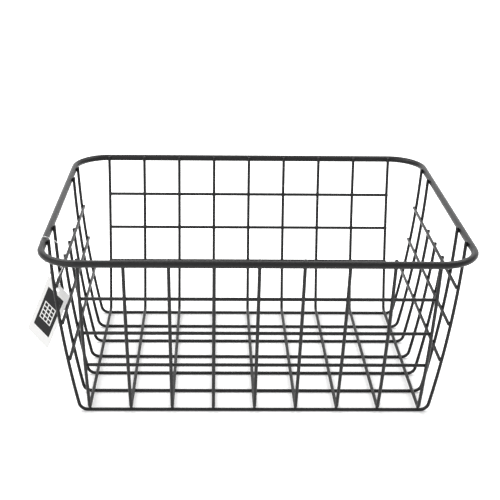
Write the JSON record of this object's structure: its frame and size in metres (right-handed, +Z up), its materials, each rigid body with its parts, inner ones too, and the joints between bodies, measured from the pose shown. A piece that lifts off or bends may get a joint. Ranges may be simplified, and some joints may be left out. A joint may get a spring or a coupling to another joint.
{
  "type": "wire basket",
  "caption": "Open rectangular storage basket of black coated steel wire, with sloping walls, a thick rod rim, a hand hole at each end and a blank hang tag on a nylon loop.",
  "frame": {"origin": "on the floor under the middle of the wire grid", "axes": "+Z up, +X lengthwise towards the right end wall, +Y to the back wall; the hang tag is on the left end wall near the front"},
  "size_m": [0.4207, 0.3182, 0.1807],
  "materials": {
    "black_coat": "satin powder coat",
    "white_card": "uncoated board",
    "clear_nylon": "clear, smooth"
  },
  "bodies": {
    "basket": {"rim_rod": "black_coat", "long_wire_1": "black_coat", "long_wire_2": "black_coat", "long_wire_3": "black_coat", "long_wire_4": "black_coat", "long_wire_5": "black_coat", "long_wire_6": "black_coat", "long_wire_7": "black_coat", "cross_wire_1": "black_coat", "cross_wire_2": "black_coat", "cross_wire_3": "black_coat", "cross_wire_4": "black_coat", "cross_wire_5": "black_coat", "cross_wire_6": "black_coat", "cross_wire_7": "black_coat", "cross_wire_8": "black_coat", "cross_wire_9": "black_coat", "front_rail_1": "black_coat", "front_rail_2": "black_coat", "front_rail_3": "black_coat", "back_rail_1": "black_coat", "back_rail_2": "black_coat", "back_rail_3": "black_coat", "left_rail_1": "black_coat", "left_rail_2": "black_coat", "left_rail_3": "black_coat", "right_rail_1": "black_coat", "right_rail_2": "black_coat", "right_rail_3": "black_coat"},
    "tag": {"tag_card": "white_card", "tag_loop": "clear_nylon"}
  },
  "joints": [
    {"name": "tag_swing", "type": "hinge", "parent": "basket", "child": "tag", "pos_m": [-0.1954, -0.1025, 0.176], "axis": [0, 1, 0], "range_deg": [0, 40]}
  ]
}
